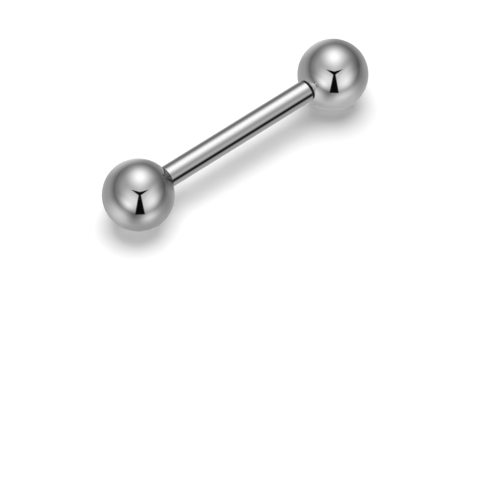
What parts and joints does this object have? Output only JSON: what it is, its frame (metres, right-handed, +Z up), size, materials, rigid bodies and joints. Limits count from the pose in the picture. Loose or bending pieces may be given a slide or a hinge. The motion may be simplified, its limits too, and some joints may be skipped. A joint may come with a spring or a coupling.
{
  "type": "straight barbell",
  "caption": "Straight piercing barbell in polished steel: a round bar with a pressed-on ball at one end and, at the other, a ball that unscrews with its threaded stud.",
  "frame": {"origin": "on the surface that the two balls rest on, below the middle of the bar", "axes": "+X along the bar from the screw ball to the fixed ball, +Z up"},
  "size_m": [0.0226, 0.005, 0.005],
  "materials": {
    "polished_bar": "mirror polished stainless steel",
    "polished_ball": "mirror polished stainless steel",
    "turned_thread": "stainless steel as cut by the thread die"
  },
  "bodies": {
    "bar": {"bar": "polished_bar", "fixed_ball": "polished_ball"},
    "screw_ball": {"screw_ball": "polished_ball"},
    "threaded_stud": {"threaded_stud": "turned_thread"}
  },
  "joints": [
    {"name": "ball_unscrew", "type": "slide", "parent": "bar", "child": "screw_ball", "axis": [-1, 0, 0], "range_m": [0, 0.004]},
    {"name": "stud_turn", "type": "hinge", "parent": "screw_ball", "child": "threaded_stud", "pos_m": [-0.00635, 0, 0.0025], "axis": [-1, 0, 0], "range_deg": [0, 5760]}
  ],
  "couplings": [
    {"joint": "stud_turn", "follows": "ball_unscrew", "rad_per_m": 25133}
  ]
}
